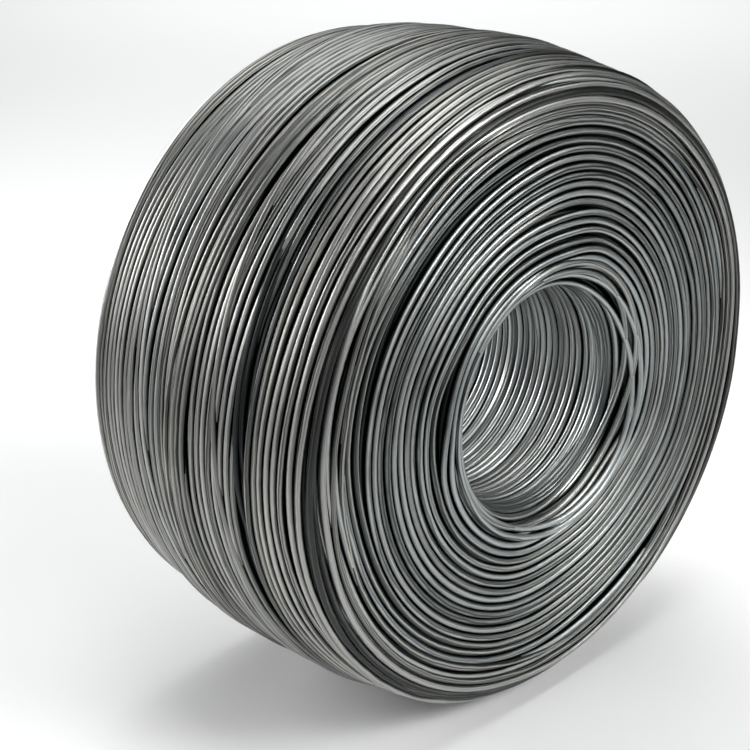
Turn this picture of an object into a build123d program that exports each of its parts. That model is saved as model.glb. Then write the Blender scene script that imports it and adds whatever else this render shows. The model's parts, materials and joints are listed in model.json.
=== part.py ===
from build123d import *
from math import radians, sin
import os

# Coil of round steel wire, wound without a spool and lying on its round side.
# The coil's axis runs along Y, the floor is Z = 0, and the origin is on the floor under the middle of the coil.
# All sizes are in millimetres.

# Driving dimensions
wire_diameter = 2.5
coil_diameter = 240.0
coil_width = 116.0
bore_diameter = 81.0
level_width = 42.0  # the middle of the barrel, which the coil lies on
barrel_drop = 6.0  # from the middle of the barrel in to where it would meet the end
shoulder_radius = 12.0
shoulder_facets = 3
lip_radius = 14.0
nesting_angle = 60.0  # each layer lies in the grooves of the one below it
layer_spread = 1.08  # and crossing turns hold it a little further out

# Sizes that follow from them
coil_radius = coil_diameter / 2
bore_radius = bore_diameter / 2
half_width = coil_width / 2
# Nested layers end half a wire apart, so every second layer stands proud, with a groove beside it.
groove_depth = wire_diameter / 2
layer_height = wire_diameter * sin(radians(nesting_angle)) * layer_spread
proud_turn_pitch = 2 * layer_height

# The section is drawn through the coil's axis: x runs along the axis, and y runs out from it.
section_plane = Plane(origin=(0, 0, coil_radius), x_dir=(0, 1, 0), z_dir=(1, 0, 0))
coil_axis = Axis((0, 0, coil_radius), (0, 1, 0))


def smooth_half():
    """One half of the section without its turns: bore, lip, end face, shoulder and barrel."""
    return FilletPolyline(
        (0, bore_radius),
        (half_width, bore_radius),
        (half_width, coil_radius - barrel_drop),
        (level_width / 2, coil_radius),
        radius=[lip_radius, shoulder_radius],
        mode=Mode.PRIVATE,
    )


def turns_on_end(smooth):
    """The points of the turns, from the bore round the lip to the shoulder: crest, groove, crest and so on."""
    bore, lip, face, shoulder, barrel = smooth.edges()
    turns = round((lip.length + face.length) / proud_turn_pitch)
    step = (lip.length + face.length) / (2 * turns)
    points = []
    for number in range(2 * turns + 1):
        place = (bore.length + number * step) / smooth.length
        along = smooth % place
        inward = Vector(-along.Y, along.X)
        depth = groove_depth if number % 2 else 0
        points.append(smooth @ place + inward * depth)
    return points


def shoulder_points(smooth):
    """The points of the shoulder, which the outermost turns make nearly smooth."""
    bore, lip, face, shoulder, barrel = smooth.edges()
    return [shoulder @ (facet / shoulder_facets) for facet in range(1, shoulder_facets + 1)]


# The whole coil is one wire, so it is one turned solid, with its bore through it and its turns on both ends.
with BuildPart() as wire_coil:
    with BuildSketch(section_plane) as section:
        with BuildLine() as outline:
            smooth = smooth_half()
            bore_middle = smooth @ 0
            level_end = smooth @ 1
            barrel_middle = (0, coil_radius)
            Polyline(bore_middle, *turns_on_end(smooth), *shoulder_points(smooth), level_end, barrel_middle)
            mirror(about=Plane.YZ)
        make_face()
    revolve(axis=coil_axis)

wire_coil.part.label = "wire_coil"

os.makedirs("parts", exist_ok=True)
export_step(wire_coil.part, "parts/wire_coil.step")
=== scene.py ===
import json
from math import cos, pi, radians, sin

import bpy
import numpy as np
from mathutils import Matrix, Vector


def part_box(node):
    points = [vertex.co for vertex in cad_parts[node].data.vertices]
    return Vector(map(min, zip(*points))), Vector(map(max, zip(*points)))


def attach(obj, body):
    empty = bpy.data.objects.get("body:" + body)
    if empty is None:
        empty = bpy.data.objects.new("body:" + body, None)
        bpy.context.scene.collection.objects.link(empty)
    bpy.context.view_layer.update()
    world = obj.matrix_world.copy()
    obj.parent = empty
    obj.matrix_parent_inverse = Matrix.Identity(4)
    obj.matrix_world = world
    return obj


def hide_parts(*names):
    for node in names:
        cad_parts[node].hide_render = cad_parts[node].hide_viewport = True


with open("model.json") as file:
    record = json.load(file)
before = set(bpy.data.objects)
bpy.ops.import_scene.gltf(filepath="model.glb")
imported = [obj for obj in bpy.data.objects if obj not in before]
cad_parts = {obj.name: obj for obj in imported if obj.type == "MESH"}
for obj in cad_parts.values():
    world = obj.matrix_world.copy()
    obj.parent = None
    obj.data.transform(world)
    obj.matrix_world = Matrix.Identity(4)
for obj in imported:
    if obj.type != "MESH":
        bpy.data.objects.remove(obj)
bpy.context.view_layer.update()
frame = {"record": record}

# The inside of the coil. Some thirty layers of the same wire lie under the ones that show, and all that is
# seen of them is darkness between the turns. They are one plain turned body, a few wires smaller than the
# coil, coloured near black: painted shade, not the steel's own colour.
low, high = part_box("wire_coil")
coil_radius = (high[2] - low[2]) / 2
half_width = (high[1] - low[1]) / 2
bore_radius = frame["record"]["mounts"][0]["dims"]["r_mm"] / 1000
coil_middle = (0, 0, (low[2] + high[2]) / 2)
wire = 0.0025
barrel_drop = 0.006
wires_over_barrel = 2.2
wires_over_bore = 1.5
wires_over_end = 2.4
inside_outer = coil_radius - barrel_drop - wires_over_barrel * wire
inside_inner = bore_radius + wires_over_bore * wire
inside_width = 2 * (half_width - wires_over_end * wire)
inside_rounding = 0.008
inside_facets = 72

bpy.ops.object.select_all(action="DESELECT")
bpy.ops.mesh.primitive_plane_add(size=1, location=(0, 0, coil_middle[2] + (inside_outer + inside_inner) / 2))
inside = bpy.context.object
inside.name = "inner_layers"
bpy.ops.object.mode_set(mode="EDIT")
bpy.ops.transform.resize(value=(inside_outer - inside_inner, inside_width, 1))
bpy.ops.transform.rotate(value=pi / 2, orient_axis="Y", center_override=inside.location)
bpy.ops.mesh.bevel(offset=inside_rounding, segments=3, affect="VERTICES")
bpy.ops.mesh.delete(type="ONLY_FACE")
bpy.ops.mesh.select_all(action="SELECT")
bpy.ops.mesh.spin(steps=inside_facets, angle=2 * pi, center=coil_middle, axis=(0, 1, 0))
bpy.ops.mesh.select_all(action="SELECT")
bpy.ops.mesh.remove_doubles(threshold=0.00001)
bpy.ops.mesh.normals_make_consistent(inside=False)
bpy.ops.object.mode_set(mode="OBJECT")
bpy.ops.object.transform_apply(location=True, rotation=True, scale=True)
bpy.ops.object.shade_smooth()


class Shade:
    """A value in a material. An expression on it adds the Math nodes."""

    def __init__(self, maker, socket):
        self.maker = maker
        self.socket = socket

    def math(self, operation, *values):
        return self.maker.add("ShaderNodeMath", {"operation": operation}, dict(enumerate(values)))

    def __add__(self, other):
        return self.math("ADD", self, other)

    def __radd__(self, other):
        return self.math("ADD", other, self)

    def __sub__(self, other):
        return self.math("SUBTRACT", self, other)

    def __rsub__(self, other):
        return self.math("SUBTRACT", other, self)

    def __mul__(self, other):
        return self.math("MULTIPLY", self, other)

    def __rmul__(self, other):
        return self.math("MULTIPLY", other, self)


class Material:
    """A material whose nodes are added one by one."""

    def __init__(self, name):
        self.material = bpy.data.materials.new(name)
        self.material.use_nodes = True
        self.tree = self.material.node_tree
        self.surface = self.tree.nodes["Principled BSDF"]

    def add(self, kind, settings=None, values=None, output=0):
        """Adds a node: its settings first, then the values or links of its sockets."""
        node = self.tree.nodes.new(kind)
        for setting, value in (settings or {}).items():
            setattr(node, setting, value)
        for socket, value in (values or {}).items():
            self.put(node, socket, value)
        return Shade(self, node.outputs[output])

    def put(self, node, socket, value):
        if isinstance(value, Shade):
            self.tree.links.new(value.socket, node.inputs[socket])
        else:
            node.inputs[socket].default_value = value


# Painted shade: the inner body is near black, for the shade deep between the turns.
painted_shade_steel = Material("painted_shade_steel")
place_on = painted_shade_steel.add("ShaderNodeTexCoord", output="Object")
mottle = painted_shade_steel.add("ShaderNodeTexNoise", values={"Vector": place_on, "Scale": 90.0, "Detail": 3.0})
shade_colour = painted_shade_steel.add(
    "ShaderNodeMix",
    {"data_type": "RGBA"},
    {0: mottle, 6: (0.012, 0.014, 0.015, 1), 7: (0.03, 0.032, 0.033, 1)},
    output=2,
)
painted_shade_steel.put(painted_shade_steel.surface, "Base Color", shade_colour)
painted_shade_steel.put(painted_shade_steel.surface, "Roughness", 0.6 + 0.2 * mottle)
inside.data.materials.append(painted_shade_steel.material)
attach(inside, "root")
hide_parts("wire_coil")

# The layer under the outermost turns, from one lip of the bore round to the other. It is the same wire, wound
# side by side, and it shows between the outer turns. Like every turn here it is laid by a small sum: it
# slides into the hollows beside its neighbours and bends over the turns that it crosses.
layer = wire * 0.87  # a turn in the hollow between two others lies this much further out
outer_layers = 3
lip_radius = 0.014
shoulder_radius = 0.012
barrel_rounding = 0.06
level_width = 0.042
sag = wire  # how far the turns of the bore hang below the middle of the coil
stations = 144
outline_points = 4001
half_wire_cells = 6
cell = wire / (2 * half_wire_cells)
under_sides = 6
chance = np.random.default_rng(11)


def rounded_line(corners, radii, step):
    """Points along a line through the corners, rounded at each inner corner."""
    corners = [np.array(corner) for corner in corners]
    points = [corners[0]]
    for before, corner, after, radius in zip(corners, corners[1:], corners[2:], radii):
        back = (before - corner) / np.linalg.norm(before - corner)
        ahead = (after - corner) / np.linalg.norm(after - corner)
        half_angle = np.arccos(np.dot(back, ahead)) / 2
        bend = pi - 2 * half_angle
        start = back * radius / np.tan(half_angle)
        centre = (back + ahead) / np.linalg.norm(back + ahead) * radius / np.sin(half_angle)
        spoke = start - centre
        side = -np.sign(back[0] * ahead[1] - back[1] * ahead[0])
        for angle in np.linspace(0, side * bend, max(2, round(bend * radius / step))):
            turned = (
                spoke[0] * cos(angle) - spoke[1] * sin(angle),
                spoke[0] * sin(angle) + spoke[1] * cos(angle),
            )
            points.append(corner + centre + turned)
    points.append(corners[-1])
    return np.array(points)


def even_line(points, count):
    """The same line as evenly spaced points, with the distance of each along it."""
    along = np.concatenate([[0], np.cumsum(np.linalg.norm(np.diff(points, axis=0), axis=1))])
    places = np.linspace(0, along[-1], count)
    return np.stack([np.interp(places, along, points[:, axis]) for axis in (0, 1)], axis=1), places


# The line through the middles of the outermost turns, from the middle of the bore round the near end to the
# barrel and back round the far end: x runs along the axis towards the near end, y out from the axis.
inset = wire / 2
near_half = rounded_line(
    [
        (0, bore_radius + inset),
        (half_width - inset, bore_radius + inset),
        (half_width - inset, coil_radius - barrel_drop - inset),
        (level_width / 2, coil_radius - inset),
        (0, coil_radius - inset),
    ],
    [lip_radius - inset, shoulder_radius - inset, barrel_rounding],
    wire / 20,
)
outline, places = even_line(np.concatenate([near_half, near_half[-2::-1] * (-1, 1)]), outline_points)
run = np.gradient(outline, axis=0)
run /= np.linalg.norm(run, axis=1)[:, None]
length = places[-1]
bore_end = half_width - lip_radius
face_start = bore_end + (lip_radius - inset) * pi / 2
face_end = face_start + coil_radius - bore_radius - lip_radius - shoulder_radius - barrel_drop
barrel_start = face_end + (shoulder_radius - inset) * pi / 2
all_stations = np.arange(stations)
angles = all_stations * 2 * pi / stations
reach = np.arange(-half_wire_cells, half_wire_cells + 1)[:, None]


def by_zone(place, bore, lip, face, shoulder, barrel):
    """A value that goes smoothly from one zone of the outline to the next, the same at both ends."""
    near = min(place, length - place)
    fade = 0.01
    lip_fade = 0.006
    ends = [
        bore_end - fade,
        bore_end + lip_fade,
        face_start + fade,
        face_end,
        (face_end + barrel_start) / 2,
        barrel_start,
    ]
    return np.interp(near, ends, [bore, lip, face, face, shoulder, barrel])


# How thick the outer turns lie on the inside, in layers: one in the bore and up to three on the barrel.
layers_there = [
    by_zone(place, 1, 1.6, 2.6, outer_layers, outer_layers)
    for place in np.arange(int(length / cell) + 1) * cell
]
laid = np.repeat((outer_layers - np.array(layers_there))[:, None] * layer, stations, axis=1)


def resting(path):
    """The cells under a turn on this path, its half round over them, and how high its middle rests."""
    nearest = np.rint(path / cell).astype(int)
    rows = np.clip(nearest + reach, 0, len(laid) - 1)
    sideways = (nearest + reach) * cell - path
    half_round = np.sqrt(np.maximum((wire / 2) ** 2 - sideways**2, 0))
    return rows, half_round, (laid[rows, all_stations] + half_round).max(axis=0)


def evened(values, times):
    """The same values, evened out between neighbouring stations round the coil."""
    for _ in range(times):
        values = (np.roll(values, 1) + 2 * values + np.roll(values, -1)) / 4
    return values


def wander(amount, waves=3):
    """A slow sideways drift of one closed turn."""
    drift = np.zeros(stations)
    for wave in range(1, waves + 1):
        drift += chance.normal() * amount / wave * np.sin(wave * angles + chance.uniform(0, 2 * pi))
    return drift


def lay(path, slides=14, proud=0.0):
    """Lays one closed turn and gives its path, its depth inside the outline and its tone."""
    nudge = wire / 10
    steepest = 1.2
    seat = wire * 0.37
    rounding = 0.0003
    deepest_pull = wire * 0.25
    for _ in range(slides):
        slope = (resting(path + nudge)[2] - resting(path - nudge)[2]) / (2 * nudge)
        path = evened(path - nudge * np.clip(slope, -steepest, steepest), 4)
    path = evened(path, 10)
    rows, half_round, height = resting(path)
    eased = height
    for shift in range(1, 6):
        fall = coil_radius * (shift * 2 * pi / stations) ** 2 / 2
        eased = np.maximum(eased, np.maximum(np.roll(height, shift), np.roll(height, -shift)) - fall)
    eased = evened(eased, 3)
    np.maximum.at(laid, (rows, np.broadcast_to(all_stations, rows.shape)), eased + half_round)
    depth = outer_layers * layer - seat - eased + proud
    pulled_in = deepest_pull * np.clip(wander(1.0), 0, 1) * np.clip(1 + 2 * depth / wire, 0, 1)
    return path, (depth + np.sqrt(depth**2 + rounding**2)) / 2 - proud + pulled_in, chance.uniform()


drift_size = 0.0011
narrowest_drift = 0.03
widest_drift = 0.09
drift_waves = [
    (
        drift_size * chance.normal(),
        chance.uniform(narrowest_drift, widest_drift),
        wave,
        chance.uniform(0, 2 * pi),
        chance.uniform(0, 2 * pi),
    )
    for wave in (1, 1, 2, 2, 3, 4)
]


def shared_drift(place):
    """The sideways drift that neighbouring turns share."""
    parts = [
        size * sin(2 * pi * place / spread + start) * np.sin(wave * angles + turn)
        for size, spread, wave, start, turn in drift_waves
    ]
    return np.sum(parts, axis=0)


def side_by_side(start, finish, gap, proud_on_barrel=0.0):
    """Lays turns one beside the other, with gaps that open and close.

    Each keeps mostly to the line of the one before.
    """
    follow = 0.8
    turns = []
    place = start
    while place < finish:
        loose = by_zone(place, 0.06, 0.3, 0.7, 1, 1)
        own_drift = wander(by_zone(place, 0.00003, 0.00012, 0.0004, 0.0006, 0.0007))
        path = place + shared_drift(place) * loose + own_drift
        if turns:
            path = follow * (turns[-1][0] + step) + (1 - follow) * path
        turns.append(lay(path, proud=by_zone(place, 0, 0, 0, 0, proud_on_barrel)))
        step = wire * (1 + gap * np.maximum(wander(1.0), 0) ** 2)
        place += step.mean()
    return turns


def turns_mesh(name, turns, sides):
    """One mesh of closed turns of round wire, with the ways along and round each in its UV map.

    Its attributes are the tone of each turn and, set by zone, how far the painted shade at its sides is
    narrowed.
    """
    across = np.array([0, 1, 0])
    out = np.stack([np.cos(angles), np.zeros(stations), np.sin(angles)], axis=1)
    around = (np.arange(sides) * 2 * pi / sides)[:, None]
    points = []
    for path, depth, tone in turns:
        along, away, run_x, run_y = [
            np.interp(path, places, line)[:, None]
            for line in (outline[:, 0], outline[:, 1], run[:, 0], run[:, 1])
        ]
        proud_way = -run_x * out - run_y * across
        side_way = run_y * out - run_x * across
        along = np.clip(along - depth[:, None] * run_y, inset - half_width, half_width - inset)
        away = np.minimum(away + depth[:, None] * run_x, coil_radius - inset)
        middle = away * out - along * across + coil_middle
        middle[:, 2] -= sag * (coil_radius - inset - away[:, 0]) / (coil_radius - 2 * inset - bore_radius)
        ring = -np.cos(around) * proud_way[:, None] - np.sin(around) * side_way[:, None]
        points.append(middle[:, None] + ring * wire / 2)
    number = np.arange(len(turns) * stations * sides).reshape(len(turns), stations, sides)
    ahead = np.roll(number, -1, axis=1)
    quads = np.stack([number, np.roll(number, -1, axis=2), np.roll(ahead, -1, axis=2), ahead], axis=-1)
    mesh = bpy.data.meshes.new(name)
    mesh.from_pydata(np.concatenate(points).reshape(-1, 3).tolist(), [], quads.reshape(-1, 4).tolist())
    corner_uv = np.zeros(quads.shape + (2,))
    corner_uv[..., 0] = (all_stations[:, None, None] + [0, 0, 1, 1]) / stations
    corner_uv[..., 1] = (np.arange(sides)[:, None] + [0, 1, 1, 0]) / sides
    mesh.uv_layers.new(name="wire").data.foreach_set("uv", corner_uv.astype(np.float32).ravel())
    # The second attribute narrows the painted shade at the sides of the turns on the lips and shoulders, and
    # widens it a little on the faces and barrel.
    for attribute, values in (
        ("tone", [tone for path, depth, tone in turns]),
        ("shade_narrowing", [by_zone(path.mean(), 0.03, 0.09, -0.04, 0.25, -0.05) for path, depth, tone in turns]),
    ):
        whole = np.repeat(values, stations * sides).astype(np.float32)
        mesh.attributes.new(attribute, "FLOAT", "POINT").data.foreach_set("value", whole)
    mesh.shade_smooth()
    piece = bpy.data.objects.new(name, mesh)
    bpy.context.collection.objects.link(piece)
    return piece


def drawn_steel(name, dark, warm, cool, shade_teal):
    """Drawn steel: bright on the crown of each turn, with fine lines along it and painted shade, near black,
    at its sides where the turns meet.
    """
    patches_per_metre = 60
    patch_shift = 90
    lines_around = 9
    line_waver = 2
    line_shift = 70
    steel = Material(name)
    tone = steel.add("ShaderNodeAttribute", {"attribute_name": "tone"}, output="Fac")
    shade_narrowing = steel.add("ShaderNodeAttribute", {"attribute_name": "shade_narrowing"}, output="Fac")
    place = steel.add("ShaderNodeTexCoord", output="Object")
    on_wire = steel.add("ShaderNodeUVMap", {"uv_map": "wire"})
    around = steel.add("ShaderNodeSeparateXYZ", values={0: on_wire}, output="Y")
    own_place = steel.add(
        "ShaderNodeVectorMath",
        {"operation": "MULTIPLY_ADD"},
        {0: place, 1: (patches_per_metre,) * 3, 2: tone * patch_shift},
    )
    cloud = steel.add("ShaderNodeTexNoise", values={"Vector": own_place, "Scale": 1.0, "Detail": 3.0})
    line_place = steel.add(
        "ShaderNodeCombineXYZ",
        values={0: around * lines_around + cloud * line_waver, 1: tone * line_shift},
    )
    lines = steel.add(
        "ShaderNodeTexNoise",
        {"noise_dimensions": "2D"},
        {"Vector": line_place, "Scale": 1.0, "Detail": 3.0},
    )
    crown = 1 - steel.add("ShaderNodeMath", {"operation": "ABSOLUTE"}, {0: 2 * around - 1})
    # Painted shade: the sides of each turn fade to near black, for the shade where the turns meet; the crown
    # keeps the steel's colour.
    unshaded = steel.add(
        "ShaderNodeMapRange",
        {"interpolation_type": "SMOOTHSTEP"},
        {"Value": crown + 0.3 * cloud + shade_narrowing, "From Min": 0.6, "From Max": 1.05},
    )
    steel_colour = steel.add("ShaderNodeMix", {"data_type": "RGBA"}, {0: 0.7 * tone, 6: warm, 7: cool}, output=2)
    streak = steel.add(
        "ShaderNodeMapRange",
        values={"Value": 0.05 + 0.17 * tone + 0.75 * lines, "From Min": 0.38, "From Max": 0.62},
    )
    bright = steel.add("ShaderNodeMix", {"data_type": "RGBA"}, {0: streak, 6: dark, 7: steel_colour}, output=2)
    colour = steel.add("ShaderNodeMix", {"data_type": "RGBA"}, {0: unshaded, 6: shade_teal, 7: bright}, output=2)
    steel.put(steel.surface, "Base Color", colour)
    steel.put(steel.surface, "Metallic", 1.0)
    steel.put(steel.surface, "Roughness", 0.29 + 0.14 * cloud + 0.14 * lines)
    bump = steel.add("ShaderNodeBump", values={"Height": lines, "Strength": 0.7, "Distance": 0.0001})
    steel.put(steel.surface, "Normal", bump)
    return steel.material


# Painted shade: near-black teal for the sides of the turns, where they meet.
shade_teal = (0.003, 0.01, 0.012, 1)
# Painted shade: the under turns take a darkened copy of the steel, for where they lie under the outer turns.
shaded_under_steel = drawn_steel(
    "shaded_under_steel", (0.02, 0.022, 0.023, 1), (0.06, 0.058, 0.055, 1), (0.05, 0.055, 0.056, 1), shade_teal
)
under_turns = turns_mesh("under_turns", side_by_side(bore_end, length - bore_end, 0.1), under_sides)
under_turns.data.materials.append(shaded_under_steel)
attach(under_turns, "root")
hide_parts("wire_coil")

# The turns of the bore: the first layer of the wire, laid tight round the mandrel. Their steel is a lighter
# copy of the same steel: painted light, for the brighter bore.
turn_sides = 8
turn_steel = drawn_steel(
    "drawn_steel", (0.064, 0.072, 0.071, 1), (0.56, 0.56, 0.521, 1), (0.448, 0.5, 0.513, 1), shade_teal
)
# Painted light: a lighter copy of the steel, for the brighter bore.
lit_bore_steel = drawn_steel(
    "lit_bore_steel", (0.19, 0.205, 0.205, 1), (0.7, 0.695, 0.668, 1), (0.605, 0.658, 0.674, 1), shade_teal
)
bore_laid = side_by_side(wire / 2, bore_end, 0.04) + side_by_side(length - bore_end, length - wire / 2, 0.04)
bore_turns = turns_mesh("bore_turns", bore_laid, turn_sides)
bore_turns.data.materials.append(lit_bore_steel)
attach(bore_turns, "root")
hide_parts("wire_coil")

# The turns of the near end: where each hidden layer turns back, its last turn shows, from the lip of the
# bore to the shoulder. Gaps open and close between them, and a few slack ones cross each other on the lip.
shoulder = (face_end + barrel_start) / 2
near_laid = side_by_side(bore_end, shoulder, 0.5)
crossing_angle = 0.15
slack_wires = 1.2
slack_proud = 0.4 * wire
lean = np.sin(angles - crossing_angle) + np.sin(2 * (angles - crossing_angle)) / 2
for line, share in ((0.46, 1.0), (0.52, -1.0), (0.64, 0.9), (0.7, -0.6)):
    slack = bore_end + line * (face_start - bore_end) + share * slack_wires * wire * lean
    near_laid.append(lay(slack, slides=1, proud=slack_proud))
near_turns = turns_mesh("near_end_turns", near_laid, turn_sides)
near_turns.data.materials.append(turn_steel)
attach(near_turns, "root")
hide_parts("wire_coil")

# The turns of the far end: the same wire, laid in the same way as at the near end. The photograph does not
# show this end, so its gaps are a guess.
far_laid = side_by_side(length - shoulder, length - bore_end, 0.5)
far_turns = turns_mesh("far_end_turns", far_laid, turn_sides)
far_turns.data.materials.append(turn_steel)
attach(far_turns, "root")
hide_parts("wire_coil")

# The turns of the barrel, from shoulder to shoulder: the last whole layer. It is the same steel, darkened
# as painted shade for where it lies under the loose turns, so that it shows dark between them.
shaded_steel = drawn_steel(
    "shaded_steel", (0.02, 0.023, 0.024, 1), (0.15, 0.143, 0.133, 1), (0.11, 0.12, 0.125, 1), shade_teal
)
barrel_laid = side_by_side(shoulder, length - shoulder, 0.2, proud_on_barrel=-0.0024)
barrel_turns = turns_mesh("barrel_turns", barrel_laid, turn_sides)
barrel_turns.data.materials.append(shaded_steel)
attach(barrel_turns, "root")
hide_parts("wire_coil")

# The loose turns on the barrel: the last, unfinished layer, which ends on the two faces. It was laid in
# bundles of a few turns, with dark gaps that open and close between them. The last turns of the wire wander
# across the others, one to three together.
most_in_bundle = 3
bundle_pitch = wire * 1.01
crossing_pitch = wire * 1.02
widest_gap = 0.9
loose_laid = []
edge = face_end - wire + shared_drift(face_end)
while edge.mean() < length - face_end + wire:
    for _ in range(chance.integers(1, most_in_bundle + 1)):
        proud = by_zone(edge.mean(), 0, 0, -0.001, 0.0012, -0.0006)
        loose_laid.append(lay(edge + wander(0.00015), slides=5, proud=proud))
        edge = loose_laid[-1][0] + bundle_pitch
    edge = edge + wire * np.clip(0.1 + wander(widest_gap, 5), 0, widest_gap)
for line, share, crossing_angle, count in (
    (0.7, 0.008, -0.35, 2),
    (0.55, -0.009, 0.15, 2),
    (0.32, 0.007, 0.1, 1),
    (0.45, 0.008, 2.4, 3),
    (0.8, -0.006, 1.8, 1),
):
    crossing = share * np.sin(angles - crossing_angle)
    edge = shoulder + line * (length - 2 * shoulder) + crossing + wander(0.0008)
    for _ in range(count):
        loose_laid.append(lay(edge + wander(0.0002), slides=0))
        edge = loose_laid[-1][0] + crossing_pitch
loose_steel = drawn_steel(
    "loose_steel", (0.051, 0.055, 0.054, 1), (0.57, 0.552, 0.506, 1), (0.448, 0.467, 0.471, 1), shade_teal
)
loose_turns = turns_mesh("loose_turns", loose_laid, turn_sides)
loose_turns.data.materials.append(loose_steel)
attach(loose_turns, "root")
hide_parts("wire_coil")

# The floor: a wide sheet of pale paper, for the photograph's plain background. It is not part of the coil.
bpy.ops.mesh.primitive_plane_add(size=12)
floor = bpy.context.object
floor.name = "floor"
paper = Material("pale_paper")
paper.put(paper.surface, "Base Color", (0.9, 0.9, 0.9, 1))
paper.put(paper.surface, "Roughness", 0.9)
floor.data.materials.append(paper.material)

# The light: two soft boxes in front that face the near end, one over the coil, three low wide ones behind
# it and at its side, one over the paper behind the coil, and a dim room round them. The camera does not see
# the boxes.
world = bpy.data.worlds.new("studio")
bpy.context.scene.world = world
world.use_nodes = True
world.node_tree.nodes["Background"].inputs["Color"].default_value = (0.03, 0.036, 0.038, 1)
world.node_tree.nodes["Background"].inputs["Strength"].default_value = 1.0


def direction(azimuth, elevation):
    """The way from the coil to this azimuth and elevation, and the rotation that faces the coil."""
    turn, lift = radians(azimuth), radians(elevation)
    return np.array([sin(turn) * cos(lift), -cos(turn) * cos(lift), sin(lift)]), (pi / 2 - lift, 0, turn)


def soft_box(name, target, azimuth, elevation, distance, size, power, spread=60):
    """A soft light of this width and height that faces its target."""
    way, rotation = direction(azimuth, elevation)
    bpy.ops.object.light_add(type="AREA", location=np.array(target) + way * distance, rotation=rotation)
    light = bpy.context.object
    light.name = name
    light.visible_camera = False
    light.data.shape = "RECTANGLE"
    light.data.size, light.data.size_y = size
    light.data.energy = power
    light.data.spread = radians(spread)


soft_box("key", coil_middle, 22, 32, 1.2, (0.8, 0.5), 0.95, spread=40)
soft_box("fill", coil_middle, 350, 36, 1.4, (0.9, 0.6), 0.75)
soft_box("top", coil_middle, 0, 88, 1.4, (0.8, 0.8), 1.25)
soft_box("back", coil_middle, 175, 15, 1.6, (0.9, 0.4), 1.08)
soft_box("rim", coil_middle, 205, 15, 1.6, (0.9, 0.4), 1.83)
soft_box("side", coil_middle, 262, 15, 1.6, (0.9, 0.4), 0.58)
behind_coil = (1.1, 1.1, 0)
soft_box("behind", behind_coil, 0, 90, 1.5, (1.6, 1.6), 15, spread=110)

# The camera, at the photograph's angle. It was fitted to the outline of the coil, so its focal length and
# its shifts are in pixels of the photograph.
camera_azimuth = -45.5
camera_elevation = 21.4
distance_in_radii = 5.25
photo_width = 750
focal_pixels = 1702
shift_across = -62.6
shift_up = -19.1
film_width = 36
way, rotation = direction(camera_azimuth, camera_elevation)
camera_place = np.array(coil_middle) + way * distance_in_radii * coil_radius
bpy.ops.object.camera_add(location=camera_place, rotation=rotation)
camera = bpy.context.object
camera.data.sensor_width = film_width
camera.data.lens = focal_pixels / photo_width * film_width
camera.data.shift_x = shift_across / photo_width
camera.data.shift_y = shift_up / photo_width
camera.data.clip_start = 0.01
bpy.context.scene.camera = camera
bpy.context.scene.view_settings.view_transform = "Standard"
